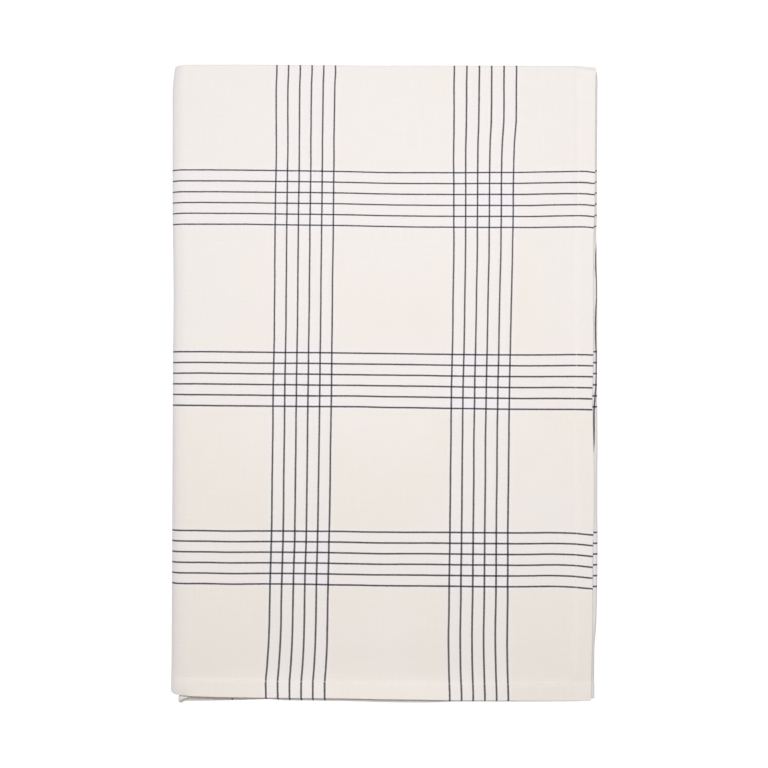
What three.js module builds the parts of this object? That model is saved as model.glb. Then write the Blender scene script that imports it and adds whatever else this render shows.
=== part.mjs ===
// Tablecloth: one woven cotton cloth with a turned hem on all four sides, about 160 x 240 cm
// laid flat, folded twice along its length and then twice across its width, so that the packet
// is sixteen plies thick. Millimetres, +Z up, length along Y, origin at the middle of the
// underside.
//
// The cloth is one closed sheet. Its length runs back and forth through four plies (the ply
// route), and that four-ply strip runs back and forth again through four packets (the packet
// route), standing on its own layers. Both routes have the same turns, in this order: free hem
// on top, outer fold at the far end, half fold at the near end, inner fold at the far end
// nested in the outer one, and the other free hem, second from the top at the near end.
import * as THREE from 'three';

// ---- Driving sizes ----
const PLY = 1.0; // thickness of the cloth with its loft
const PITCH = 1.4; // from one ply to the next, so that plies lie 0.4 apart
const PLIES = 4; // plies in the strip, and packets of that strip in the stack
const HEM = 17.5; // width of the turned hem
const HEM_EXTRA = 0.1; // what the turned hem adds on the wrong side of the cloth
const HEM_STEP = 0.8; // width of the slope at the hem's sewn line
const SETTLE = 0.04; // how far the middle of the stack has settled, as a share of its height
const PACKET = PITCH * PLIES; // from one packet to the next
const HALF_STRIP = PITCH * 1.5 + PLY / 2; // half the thickness of the four-ply strip

// Outer fold, half fold and inner fold: straight steps that each half turn is made of.
const PLY_TURNS = { outer: 6, half: 4, inner: 4 };
const PACKET_TURNS = { outer: 10, half: 6, inner: 6 };

// ---- Where the ends of the packet route lie, in X, for stations along the length ----
// hem: edge of the top hem. half: outside of the half fold. under: edge of the hem below.
// left: outside of the outer fold. Every ply has a station at each inner row, and the sides run
// straight from row to row, so that nested plies keep their distance.
const SIDE_ENDS = [
  { y: 303, hem: 200.4, half: 202.2, under: 198.0, left: -200.4 },
  { y: 291, hem: 199.8, half: 203.2, under: 198.0, left: -201.8 },
  { y: 278, hem: 199.5, half: 203.4, under: 197.8, left: -202.7 },
  { y: 175, hem: 199.0, half: 203.0, under: 197.0, left: -202.8 },
  { y: 124, hem: 197.5, half: 202.8, under: 196.4, left: -202.2 },
  { y: 20, hem: 197.2, half: 203.3, under: 195.9, left: -202.4 },
  { y: -40, hem: 197.1, half: 203.4, under: 195.6, left: -202.7 },
  { y: -105, hem: 198.1, half: 203.8, under: 195.4, left: -203.0 },
  { y: -225, hem: 196.4, half: 202.8, under: 194.8, left: -203.6 },
  { y: -303, hem: 195.4, half: 200.3, under: 194.0, left: -204.2 },
];

// ---- Where the ends of the ply route lie, in Y, for stations along the packet route ----
// at counts packets from the top hem: each straight run takes the first 0.9 of its number and
// the fold after it the last 0.1. hem: edge of the outermost ply's hem. under: edge of the hem
// beneath it. half: outside of the half fold. far: outside of the outer fold.
const LENGTH_ENDS = [
  { at: 0.0, hem: -300.1, under: -298.4, half: -300.9, far: 300.6 },
  { at: 0.05, hem: -300.5, under: -298.2, half: -301.8, far: 302.2 },
  { at: 0.3, hem: -299.8, under: -297.2, half: -301.7, far: 302.7 },
  { at: 0.38, hem: -299.3, under: -296.6, half: -302.2, far: 302.7 },
  { at: 0.6, hem: -298.0, under: -294.6, half: -301.1, far: 302.8 },
  { at: 0.84, hem: -296.8, under: -292.0, half: -299.4, far: 302.8 },
  { at: 0.9, hem: -296.0, under: -290.6, half: -297.6, far: 302.2 },
  { at: 0.95, hem: -291.4, under: -289.6, half: -293.6, far: 301.4 },
  { at: 1.0, hem: -293.4, under: -291.4, half: -294.6, far: 301.6 },
  { at: 1.4, hem: -298.0, under: -296.4, half: -300.2, far: 302.0 },
  { at: 1.95, hem: -300.6, under: -298.6, half: -302.6, far: 301.0 },
  { at: 2.5, hem: -299.0, under: -297.0, half: -300.8, far: 302.0 },
  { at: 2.85, hem: -300.0, under: -298.2, half: -301.8, far: 301.0 },
  { at: 2.92, hem: -302.2, under: -299.4, half: -304.8, far: 300.6 },
  { at: 3.0, hem: -298.6, under: -297.4, half: -300.4, far: 301.0 },
  { at: 3.24, hem: -298.4, under: -297.2, half: -300.2, far: 302.2 },
  { at: 3.9, hem: -298.6, under: -297.4, half: -300.2, far: 300.8 },
];

// ---- Shares of a packet's straight run, from its near end, that take a station ----
const HEMMED_RUN = [0.2, 0.42, 0.66, 0.88, 0.97];
const PLAIN_RUN = [0.3, 0.65];

// Reads a table at a place between its rows, which run down in y or up in at.
function readTable(rows, key, place, column) {
  const rising = rows[rows.length - 1][key] > rows[0][key];
  const table = rising ? rows : [...rows].reverse();
  if (place <= table[0][key]) return table[0][column];
  for (let k = 1; k < table.length; k++) {
    if (place > table[k][key]) continue;
    const share = (place - table[k - 1][key]) / (table[k][key] - table[k - 1][key]);
    return table[k - 1][column] + (table[k][column] - table[k - 1][column]) * share;
  }
  return table[table.length - 1][column];
}

// Stations of a route that halves a strip twice. A station says which run or fold it is on, how
// far along that it is, its level above the route's middle, and the way that its right side
// faces there: along, positive to the far end, and up. hemmed and plain are the stops on a run
// with a hem at its near end and on one without, from the near end to the far end.
function quarterRoute(pitch, turns, hemmed, plain) {
  const stations = [];
  const run = (index, level, up, stops) => {
    for (const stop of stops) stations.push({ kind: 'run', index, level, up, along: 0, reach: 0, hem: 0, ...stop });
  };
  const fold = (index, kind, radius, middle, outward, startUp, count) => {
    for (let k = 1; k < count; k++) {
      const angle = (Math.PI * k) / count;
      const side = Math.sin(angle);
      const height = Math.cos(angle) * startUp;
      stations.push({
        kind, index, share: k / count, level: middle + radius * height, reach: radius * side,
        along: outward * side * (kind === 'half' ? -1 : 1), up: outward * height, hem: 0,
      });
    }
  };
  const near = { share: 0 };
  const far = { share: 1 };
  const withHem = [
    { share: 0, hem: 1 },
    { fromEdge: HEM, share: 0, hem: 1 },
    { fromEdge: HEM + HEM_STEP, share: 0 },
    ...hemmed,
    far,
  ];
  run(0, 1.5 * pitch, 1, withHem);
  fold(0, 'outer', 1.5 * pitch, 0, 1, 1, turns.outer);
  run(1, -1.5 * pitch, -1, [near, ...plain, far].reverse());
  fold(1, 'half', 0.5 * pitch, -pitch, 1, -1, turns.half);
  run(2, -0.5 * pitch, 1, [near, ...plain, far]);
  fold(2, 'inner', 0.5 * pitch, 0, -1, -1, turns.inner);
  run(3, 0.5 * pitch, -1, [...withHem].reverse());
  return stations;
}

// Where along the packet route a station is, counted as in LENGTH_ENDS.
function packetPlace(station) {
  const share = station.fromEdge ? station.fromEdge / 390 : station.share;
  const forward = station.index % 2 === 0 ? share : 1 - share;
  return station.index + (station.kind === 'run' ? 0.9 * forward : 0.9 + 0.1 * station.share);
}

// Distance along the folding direction, positive to the far end, of a station whose route has
// these ends. reach is how far a fold swings out from the end of its runs.
function alongRoute(station, ends) {
  if (station.kind === 'outer' || station.kind === 'inner') return ends.far + station.reach;
  if (station.kind === 'half') return ends.half - station.reach;
  if (station.at !== undefined) return station.at;
  const near = [ends.hem, ends.half, ends.half, ends.under][station.index];
  if (station.fromEdge) return near + station.fromEdge;
  return near + (ends.far - near) * station.share;
}

function clothGeometry() {
  const asShares = (shares) => shares.map((share) => ({ share }));
  const across = quarterRoute(PACKET, PACKET_TURNS, asShares(HEMMED_RUN), asShares(PLAIN_RUN));
  const sideRows = SIDE_ENDS.slice(1, -1).reverse().map((row) => ({ at: row.y }));
  const alongPlies = quarterRoute(PITCH, PLY_TURNS, sideRows, sideRows);
  const outerPly = PITCH * 1.5 + PLY / 2;
  const halfPly = PITCH * 0.5 + PLY / 2;
  const outerPacket = PACKET * 1.5 + HALF_STRIP;
  const halfPacket = PACKET * 0.5 + HALF_STRIP;
  const sides = { right: [], wrong: [] };
  for (const packet of across) {
    const place = packetPlace(packet);
    const end = (column) => readTable(LENGTH_ENDS, 'at', place, column);
    const plyEnds = {
      hem: end('hem'), under: end('under'),
      half: end('half') + halfPly, far: end('far') - outerPly,
    };
    for (const ply of alongPlies) {
      const middleY = alongRoute(ply, plyEnds);
      const side = (column) => readTable(SIDE_ENDS, 'y', middleY, column);
      // The packet route's far end is the left one, so its distances are minus X.
      const packetEnds = {
        hem: -side('hem'), under: -side('under'),
        half: -(side('half') - halfPacket), far: -side('left') - outerPacket,
      };
      const middleAlong = alongRoute(packet, packetEnds);
      const hem = Math.max(packet.hem, ply.hem) * HEM_EXTRA;
      for (const [name, offset] of [['right', PLY / 2], ['wrong', -PLY / 2 - hem]]) {
        const y = middleY + ply.along * offset;
        const height = ply.level + ply.up * offset;
        const x = -(middleAlong + packet.along * height);
        const level = packet.level + packet.up * height;
        const bottom = PACKET * 1.5 + HALF_STRIP;
        const crownX = Math.max(0, 1 - (x / 200) ** 2);
        const crownY = Math.max(0, 1 - (y / 300) ** 2);
        sides[name].push(x, y, (level + bottom) * (1 - SETTLE * crownX * crownY));
      }
    }
  }
  const rows = across.length;
  const columns = alongPlies.length;
  const right = (i, j) => i * columns + j;
  const wrong = (i, j) => rows * columns + right(i, j);
  const faces = [];
  const quad = (a, b, c, d) => faces.push(a, b, c, a, c, d);
  for (let i = 0; i + 1 < rows; i++) {
    for (let j = 0; j + 1 < columns; j++) {
      quad(right(i, j), right(i, j + 1), right(i + 1, j + 1), right(i + 1, j));
      quad(wrong(i, j), wrong(i + 1, j), wrong(i + 1, j + 1), wrong(i, j + 1));
    }
    quad(right(i, 0), right(i + 1, 0), wrong(i + 1, 0), wrong(i, 0));
    quad(right(i + 1, columns - 1), right(i, columns - 1), wrong(i, columns - 1), wrong(i + 1, columns - 1));
  }
  for (let j = 0; j + 1 < columns; j++) {
    quad(right(0, j + 1), right(0, j), wrong(0, j), wrong(0, j + 1));
    quad(right(rows - 1, j), right(rows - 1, j + 1), wrong(rows - 1, j + 1), wrong(rows - 1, j));
  }
  const places = [...sides.right, ...sides.wrong];
  const geometry = new THREE.BufferGeometry();
  geometry.setAttribute('position', new THREE.Float32BufferAttribute(places, 3));
  geometry.setIndex(facingOut(places, faces));
  // The origin is the middle of the underside.
  geometry.computeBoundingBox();
  const box = geometry.boundingBox;
  geometry.translate(-(box.min.x + box.max.x) / 2, -(box.min.y + box.max.y) / 2, -box.min.z);
  geometry.computeVertexNormals();
  return geometry;
}

// Turns the faces round if the volume that they close comes out negative.
function facingOut(places, faces) {
  const corner = (k) => new THREE.Vector3().fromArray(places, k * 3);
  let volume = 0;
  for (let k = 0; k < faces.length; k += 3) {
    const [a, b, c] = [corner(faces[k]), corner(faces[k + 1]), corner(faces[k + 2])];
    volume += a.dot(b.cross(c)) / 6;
  }
  if (volume > 0) return faces;
  const turned = [];
  for (let k = 0; k < faces.length; k += 3) turned.push(faces[k], faces[k + 2], faces[k + 1]);
  return turned;
}

const tablecloth = new THREE.Mesh(
  clothGeometry(),
  new THREE.MeshStandardMaterial({ color: 0xf4eee6, roughness: 0.95, metalness: 0, side: THREE.DoubleSide }),
);
tablecloth.name = 'tablecloth';

const model = new THREE.Group();
model.add(tablecloth);

export default model;
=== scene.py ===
import math

import bpy
import numpy as np
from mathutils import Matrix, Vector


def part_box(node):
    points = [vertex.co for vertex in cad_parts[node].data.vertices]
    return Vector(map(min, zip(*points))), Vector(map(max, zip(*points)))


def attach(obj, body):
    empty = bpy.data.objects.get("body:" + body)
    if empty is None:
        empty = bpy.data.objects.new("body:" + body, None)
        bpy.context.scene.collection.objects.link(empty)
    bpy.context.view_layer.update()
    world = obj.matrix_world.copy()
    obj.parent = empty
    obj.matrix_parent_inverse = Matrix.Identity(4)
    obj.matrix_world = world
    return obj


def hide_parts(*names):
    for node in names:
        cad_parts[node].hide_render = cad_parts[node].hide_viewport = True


# Looks for the folded tablecloth: one woven cotton sheet, about 160 x 240 cm laid flat, halved
# twice along its length and twice across its width. The sheet is worked out from the routes of
# its two folding directions, its check is drawn by a material in the cloth's own coordinates, and
# the seams of its top hems are sewn with separate stitches. Sizes are in millimetres up to where
# each mesh is made.
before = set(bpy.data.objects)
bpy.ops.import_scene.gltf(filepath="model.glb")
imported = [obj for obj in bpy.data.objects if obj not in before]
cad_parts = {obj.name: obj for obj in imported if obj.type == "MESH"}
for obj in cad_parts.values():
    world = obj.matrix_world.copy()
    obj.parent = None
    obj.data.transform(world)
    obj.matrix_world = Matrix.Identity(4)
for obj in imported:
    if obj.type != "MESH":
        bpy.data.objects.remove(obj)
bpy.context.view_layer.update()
MM = 0.001

# ---- Driving sizes, millimetres ----
BODY = 0.6  # thickness of the cloth
STACK = 22.0  # thickness of the folded packet
PLIES = 4  # plies in the strip, and packets of that strip in the stack
PITCH = (STACK - BODY) / (PLIES * PLIES - 1)  # from one ply to the next
PACKET = PITCH * PLIES  # from one packet to the next
HALF_STRIP = 1.5 * PITCH + BODY / 2
HEM = 17.4  # width of the turned hem
SEAM = 15.8  # from the hem's edge to its line of stitches
HEM_FACE = 0.22  # how far the hem stands proud on the right side
HEM_BACK = 0.22  # and on the wrong side
EDGE_ROUND = 0.65  # radius of the turned edge
SETTLE = 0.04  # how far the middle of the stack has settled, as a share of its height
DROOP = 0.12  # and how far its free edges have sunk beneath the outermost ply
DROOP_MORE = 0.06  # with this much more along most of the bottom hem
PRESSED = 2.6  # 2 would leave the half fold round; more presses it square
PRESSED_MORE = 1.4  # with this much more at the far end of its length

# ---- Where the ends of the packet route lie, in X, along the length ----
# hem: edge of the top hem. half: outside of the half fold. under: edge of the hem below.
# left: outside of the outer fold. roll: how far in from there the cloth has curved up to its height.
SIDE_ENDS = [
    dict(y=303, hem=200.4, half=202.2, under=198.0, left=-200.4, roll=13.0),
    dict(y=291, hem=199.8, half=203.5, under=198.0, left=-201.8, roll=13.0),
    dict(y=278, hem=199.5, half=203.4, under=197.8, left=-202.7, roll=13.5),
    dict(y=175, hem=199.0, half=202.9, under=197.0, left=-202.8, roll=14.0),
    dict(y=160, hem=198.6, half=202.9, under=196.8, left=-202.7, roll=14.2),
    dict(y=144, hem=197.9, half=202.3, under=196.6, left=-202.5, roll=14.4),
    dict(y=124, hem=197.5, half=202.8, under=196.4, left=-202.2, roll=14.6),
    dict(y=85, hem=197.5, half=203.4, under=196.2, left=-201.8, roll=15.0),
    dict(y=30, hem=197.4, half=203.3, under=195.9, left=-202.3, roll=15.4),
    dict(y=8, hem=197.1, half=203.2, under=195.8, left=-202.5, roll=15.6),
    dict(y=-12, hem=196.5, half=203.3, under=195.6, left=-202.6, roll=15.8),
    dict(y=-34, hem=197.0, half=203.4, under=195.6, left=-202.7, roll=16.0),
    dict(y=-62, hem=197.7, half=203.6, under=195.6, left=-202.8, roll=16.2),
    dict(y=-88, hem=198.2, half=203.4, under=195.5, left=-202.9, roll=16.4),
    dict(y=-122, hem=198.2, half=203.4, under=195.4, left=-203.1, roll=16.6),
    dict(y=-150, hem=197.1, half=203.6, under=195.2, left=-203.2, roll=16.8),
    dict(y=-225, hem=196.6, half=202.6, under=194.8, left=-203.6, roll=17.0),
    dict(y=-255, hem=196.0, half=200.6, under=194.4, left=-203.7, roll=17.5),
    dict(y=-303, hem=195.4, half=200.3, under=194.0, left=-204.2, roll=18.5),
]

# ---- Where the ends of the ply route lie, in Y, along the packet route ----
# at counts packets from the top hem: each straight run takes the first 0.9 of its number and the
# fold after it the last 0.1.
LENGTH_ENDS = [
    dict(at=0.0, hem=-300.1, under=-298.4, half=-300.9, far=300.6),
    dict(at=0.05, hem=-300.5, under=-298.2, half=-301.8, far=302.0),
    dict(at=0.3, hem=-299.8, under=-297.2, half=-302.1, far=302.3),
    dict(at=0.38, hem=-299.0, under=-296.6, half=-303.1, far=302.3),
    dict(at=0.47, hem=-298.5, under=-295.9, half=-302.6, far=302.3),
    dict(at=0.55, hem=-297.8, under=-295.1, half=-301.6, far=302.5),
    dict(at=0.6, hem=-297.6, under=-294.6, half=-301.3, far=302.7),
    dict(at=0.68, hem=-297.4, under=-293.6, half=-301.0, far=303.0),
    dict(at=0.74, hem=-297.2, under=-293.0, half=-299.3, far=303.2),
    dict(at=0.79, hem=-297.0, under=-292.4, half=-298.8, far=303.3),
    dict(at=0.84, hem=-296.8, under=-292.0, half=-298.7, far=303.3),
    dict(at=0.87, hem=-296.4, under=-291.3, half=-298.0, far=303.3),
    dict(at=0.885, hem=-296.2, under=-291.0, half=-297.0, far=303.2),
    dict(at=0.9, hem=-296.0, under=-290.6, half=-295.4, far=303.2),
    dict(at=0.92, hem=-295.4, under=-290.0, half=-294.2, far=303.1),
    dict(at=0.935, hem=-294.3, under=-289.6, half=-293.6, far=303.0),
    dict(at=0.95, hem=-292.2, under=-289.2, half=-292.8, far=302.8),
    dict(at=1.0, hem=-293.4, under=-291.4, half=-294.0, far=302.2),
    dict(at=1.4, hem=-298.0, under=-296.4, half=-300.2, far=302.0),
    dict(at=1.95, hem=-300.6, under=-298.6, half=-302.6, far=301.0),
    dict(at=2.5, hem=-299.0, under=-297.0, half=-300.6, far=302.0),
    dict(at=2.7, hem=-299.2, under=-297.2, half=-301.2, far=301.6),
    dict(at=2.75, hem=-299.4, under=-297.4, half=-302.2, far=301.4),
    dict(at=2.8, hem=-299.6, under=-297.8, half=-302.6, far=301.2),
    dict(at=2.86, hem=-300.0, under=-298.2, half=-303.4, far=301.0),
    dict(at=2.9, hem=-301.4, under=-298.8, half=-303.4, far=300.8),
    dict(at=2.92, hem=-302.2, under=-299.4, half=-304.8, far=300.6),
    dict(at=2.96, hem=-300.6, under=-298.6, half=-303.4, far=300.8),
    dict(at=3.0, hem=-298.6, under=-297.4, half=-300.2, far=301.0),
    dict(at=3.02, hem=-298.7, under=-297.2, half=-298.2, far=301.2),
    dict(at=3.04, hem=-298.8, under=-297.0, half=-297.6, far=301.3),
    dict(at=3.06, hem=-298.8, under=-297.2, half=-298.4, far=301.4),
    dict(at=3.08, hem=-298.9, under=-297.4, half=-300.2, far=301.5),
    dict(at=3.1, hem=-298.9, under=-297.4, half=-300.6, far=301.6),
    dict(at=3.15, hem=-298.8, under=-297.4, half=-300.4, far=301.9),
    dict(at=3.26, hem=-298.4, under=-297.2, half=-300.2, far=302.2),
    dict(at=3.9, hem=-298.6, under=-297.4, half=-300.2, far=300.8),
]

# ---- The woven check, in cloth coordinates ----
# u counts from the right hem's edge, v from the bottom hem's edge. Each band has six lines.
DOWN = dict(first=106.0, repeat=169.6, pitch=11.0)  # bands of lines that run along the length
ACROSS = dict(first=132.8, repeat=170.4, pitch=10.22)  # bands that run across the width
LINES = 6
# Width of a line, from the bottom hem to the far side, and where along the length it changes.
LINE_DOWN = dict(near=1.78, away=1.47, begins=60.0, ends=480.0)
LINE_ACROSS = dict(near=1.63, away=1.33, begins=200.0, ends=480.0)

# How the outer lines of the two lengthwise bands lie on the top ply: X at stations of Y.
LIE_DOWN = [
    dict(y=297.2, left1=-102.5, left6=-46.8, right1=65.7, right6=124.9),
    dict(y=283.0, left1=-103.0, left6=-47.6, right1=65.4, right6=124.7),
    dict(y=249.8, left1=-103.1, left6=-48.0, right1=65.4, right6=124.4),
    dict(y=240.3, left1=-103.1, left6=-48.1, right1=65.4, right6=123.7),
    dict(y=230.8, left1=-103.1, left6=-48.3, right1=65.3, right6=122.9),
    dict(y=211.9, left1=-103.2, left6=-48.4, right1=65.1, right6=122.1),
    dict(y=140.8, left1=-104.3, left6=-49.2, right1=65.3, right6=121.2),
    dict(y=69.7, left1=-104.8, left6=-50.0, right1=64.5, right6=119.6),
    dict(y=-30.8, left1=-106.3, left6=-51.2, right1=62.7, right6=117.6),
    dict(y=-129.4, left1=-107.4, left6=-52.6, right1=61.7, right6=116.7),
    dict(y=-201.4, left1=-109.2, left6=-54.2, right1=60.8, right6=116.3),
    dict(y=-243.2, left1=-110.3, left6=-54.8, right1=60.2, right6=115.7),
    dict(y=-266.9, left1=-111.7, left6=-55.9, right1=60.4, right6=116.1),
    dict(y=-284.9, left1=-113.0, left6=-57.2, right1=61.0, right6=116.6),
    dict(y=-295.3, left1=-112.8, left6=-57.2, right1=61.3, right6=116.9),
]

# How the outer lines of the three crosswise bands lie on the top ply: Y at stations of X.
LIE_ACROSS = [
    dict(x=-174.9, upper1=203.0, upper6=151.5, middle1=30.7, middle6=-20.3, lower1=-139.0, lower6=-189.2),
    dict(x=-146.5, upper1=202.8, upper6=151.4, middle1=30.4, middle6=-20.6, lower1=-139.5, lower6=-189.6),
    dict(x=-113.3, upper1=202.5, upper6=151.1, middle1=30.1, middle6=-21.0, lower1=-139.3, lower6=-189.5),
    dict(x=-37.4, upper1=201.4, upper6=150.3, middle1=29.4, middle6=-21.6, lower1=-140.0, lower6=-190.6),
    dict(x=0.5, upper1=200.5, upper6=149.5, middle1=28.9, middle6=-22.1, lower1=-140.5, lower6=-191.3),
    dict(x=38.4, upper1=200.3, upper6=148.9, middle1=28.4, middle6=-22.7, lower1=-140.6, lower6=-191.5),
    dict(x=131.3, upper1=200.7, upper6=148.4, middle1=27.5, middle6=-23.9, lower1=-141.2, lower6=-192.3),
    dict(x=156.9, upper1=201.1, upper6=148.7, middle1=27.6, middle6=-24.0, lower1=-140.9, lower6=-191.9),
    dict(x=178.7, upper1=201.4, upper6=148.9, middle1=27.7, middle6=-24.1, lower1=-141.4, lower6=-192.5),
    dict(x=191.0, upper1=201.3, upper6=148.7, middle1=27.6, middle6=-24.2, lower1=-142.5, lower6=-193.5),
    dict(x=197.7, upper1=200.5, upper6=148.0, middle1=27.4, middle6=-24.4, lower1=-143.1, lower6=-194.1),
]
# The same bands where they cross the half fold below the right hem.
LIE_AT_HALF = dict(upper1=203.8, upper6=150.6, middle1=31.0, middle6=-21.9, lower1=-141.8, lower6=-193.5)

# How far past the crest of the half fold the sixth line of the fifth lengthwise band lies.
LEAN = [
    dict(y=302, past=-6.0), dict(y=150, past=-1.0), dict(y=137, past=1.6), dict(y=126, past=3.7),
    dict(y=110, past=4.3), dict(y=96, past=3.5), dict(y=84, past=3.5), dict(y=74, past=4.3),
    dict(y=56, past=4.9), dict(y=40, past=4.6), dict(y=26, past=3.9), dict(y=8, past=3.9),
    dict(y=-4, past=4.5), dict(y=-16, past=5.5), dict(y=-27, past=6.2), dict(y=-44, past=6.4),
    dict(y=-58, past=6.8), dict(y=-72, past=8.1), dict(y=-160, past=9.6), dict(y=-302, past=10.0),
]

# ---- Soft troughs and ridges pressed into the top plies ----
# Middle, direction of the crease from +X, half its length, half its width, and height.
CREASES = [
    dict(x=140, y=250, turn=40, along=38, across=9, height=-0.22),
    dict(x=184, y=303, turn=4, along=20, across=8, height=-0.45),
    dict(x=-120, y=283, turn=0, along=70, across=7, height=-0.16),
    dict(x=-5, y=-261, turn=1, along=62, across=7, height=-0.22),
    dict(x=-60, y=-277, turn=0, along=120, across=5, height=0.12),
    dict(x=92, y=-114, turn=20, along=26, across=8, height=-0.18),
    dict(x=34, y=-210, turn=75, along=24, across=11, height=-0.14),
    dict(x=138, y=8, turn=80, along=16, across=7, height=-0.14),
    dict(x=150, y=-66, turn=52, along=26, across=4.5, height=-0.16),
    dict(x=141, y=-60, turn=48, along=20, across=4.0, height=0.10),
    dict(x=182, y=101, turn=4, along=15, across=6, height=-0.16),
    dict(x=183, y=-25, turn=-5, along=16, across=7, height=-0.20),
    dict(x=182, y=-68, turn=6, along=15, across=6, height=-0.16),
    dict(x=-184, y=52, turn=86, along=40, across=9, height=-0.20),
    dict(x=-150, y=-222, turn=8, along=40, across=12, height=-0.10),
    dict(x=-20, y=90, turn=-12, along=60, across=16, height=-0.08),
    dict(x=20, y=-60, turn=64, along=70, across=18, height=0.08),
    dict(x=-150, y=120, turn=70, along=60, across=14, height=0.07),
    dict(x=60, y=225, turn=-30, along=50, across=15, height=0.07),
]


def smooth(table, key, column, at):
    """Reads a column at places between the table's rows, with no overshoot."""
    rows = sorted(table, key=lambda row: row[key])
    xs = np.array([row[key] for row in rows], float)
    ys = np.array([row[column] for row in rows], float)
    gaps = np.diff(xs)
    rise = np.diff(ys) / gaps
    slope = np.zeros(len(xs))
    before, after = rise[:-1], rise[1:]
    same = before * after > 0
    heavy, light = gaps[:-1] + 2 * gaps[1:], 2 * gaps[:-1] + gaps[1:]
    slope[1:-1][same] = ((heavy + light)[same]) / (heavy[same] / before[same] + light[same] / after[same])
    at = np.clip(np.asarray(at, float), xs[0], xs[-1])
    k = np.clip(np.searchsorted(xs, at) - 1, 0, len(gaps) - 1)
    t = (at - xs[k]) / gaps[k]
    return (
        ys[k] * (1 + 2 * t) * (1 - t) ** 2
        + slope[k] * gaps[k] * t * (1 - t) ** 2
        + ys[k + 1] * t * t * (3 - 2 * t)
        + slope[k + 1] * gaps[k] * t * t * (t - 1)
    )


def ramp(low, high, value):
    t = np.clip((np.asarray(value, float) - low) / (high - low), 0, 1)
    return t * t * (3 - 2 * t)


# ---- Stations of the two routes ----
NEAR_HEM = [0, 0.1, 0.28, 0.6, 1.2, 3.5, 8, 12.5, 14.7, 15.4, 15.8, 16.2, 16.9, 17.5, 18.4, 21.5]
FEW_HEM = [0, 0.28, 0.7, 3, 9, 14.9, 15.8, 16.8, 17.7, 22]


def run_stops(near, middles, far):
    """Stops on a straight run: a share of the way along it, and a distance added to that."""
    return [(0.0, d) for d in near] + [(s, 0.0) for s in middles] + [(1.0, -d) for d in far]


class Route:
    """A route that halves a strip twice: run 0, outer fold, run 1, half fold, run 2, inner fold,
    run 3. Even runs go from the near end to the far end."""

    def __init__(self, pitch, turns, stops):
        self.rows = []
        self.run(0, 1.5 * pitch, 1, stops[0])
        self.fold(0, "outer", 1.5 * pitch, 0, 1, 1, turns["outer"])
        self.run(1, -1.5 * pitch, -1, stops[1][::-1])
        self.fold(1, "half", 0.5 * pitch, -pitch, 1, -1, turns["half"])
        self.run(2, -0.5 * pitch, 1, stops[2])
        self.fold(2, "inner", 0.5 * pitch, 0, -1, -1, turns["inner"])
        self.run(3, 0.5 * pitch, -1, stops[3][::-1])
        for name in self.rows[0]:
            column = [row[name] for row in self.rows]
            setattr(self, name, np.array(column, float if name not in ("kind", "index") else None))
        self.count = len(self.rows)

    def run(self, index, level, up, stops):
        for share, more in stops:
            self.rows.append(dict(kind="run", index=index, share=share, more=more, level=level, up=up, along=0, reach=0))

    def fold(self, index, kind, radius, middle, outward, start, count):
        for k in range(1, count):
            side, height = math.sin(math.pi * k / count), math.cos(math.pi * k / count) * start
            self.rows.append(dict(
                kind=kind, index=index, share=k / count, more=0, level=middle + radius * height,
                reach=radius * side, up=outward * height,
                along=outward * side * (-1 if kind == "half" else 1)))

    def place(self, k, length):
        """Where along the packet route station k is, counted as in LENGTH_ENDS."""
        if self.kind[k] != "run":
            return self.index[k] + 0.9 + 0.1 * self.share[k]
        share = self.share[k] + self.more[k] / length
        return self.index[k] + 0.9 * (share if self.index[k] % 2 == 0 else 1 - share)

    def along_route(self, hem, half, under, far, wider=1.0, nested=0.0):
        """Distance along the folding direction, positive to the far end. Each end is a number or
        an array with the stations last. The outer fold reaches wider times its radius, and the
        inner fold lies that much farther out in it."""
        near = np.choose(self.index, [hem, half, half, under])
        far = far + np.where(self.index >= 2, nested, 0.0)
        run = near + (far - near) * self.share + self.more
        beyond = (self.kind == "outer") | (self.kind == "inner")
        reach = self.reach * np.where(self.kind == "outer", wider, 1.0)
        return np.where(beyond, far + reach, np.where(self.kind == "half", half - self.reach, run))


def even(count, low=0.0, high=1.0):
    return [low + (high - low) * (k + 0.5) / count for k in range(count)]


def make_routes():
    across = Route(PACKET, dict(outer=22, half=12, inner=9), [
        run_stops(NEAR_HEM, even(83, 0.062, 0.985), [0]),
        run_stops([0, 7], even(19, 0.03, 0.97), [6, 0]),
        run_stops([0, 7], even(10, 0.04, 0.96), [6, 0]),
        run_stops(FEW_HEM, even(11, 0.07, 0.97), [5, 0]),
    ])
    plies = Route(PITCH, dict(outer=11, half=8, inner=7), [
        run_stops(NEAR_HEM, even(118, 0.04, 0.983), [6, 2.5, 0]),
        run_stops([0, 2.5, 8], even(13, 0.025, 0.965), [12, 4, 0]),
        run_stops([0, 2.5, 8], even(13, 0.025, 0.965), [12, 4, 0]),
        run_stops(FEW_HEM, even(13, 0.05, 0.965), [12, 4, 0]),
    ])
    return across, plies


def hem_mask(distance):
    return 1 - ramp(HEM - 0.5, HEM + 0.5, distance)


def hem_ridge(distance, steep, tip):
    """Height of a hem that steps up by 1 at its seam, over steep mm, and by tip more at its edge."""
    return (1 - ramp(14, 14 + steep, distance)) + tip * np.clip(1 - distance / 16, 0, 1)


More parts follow.
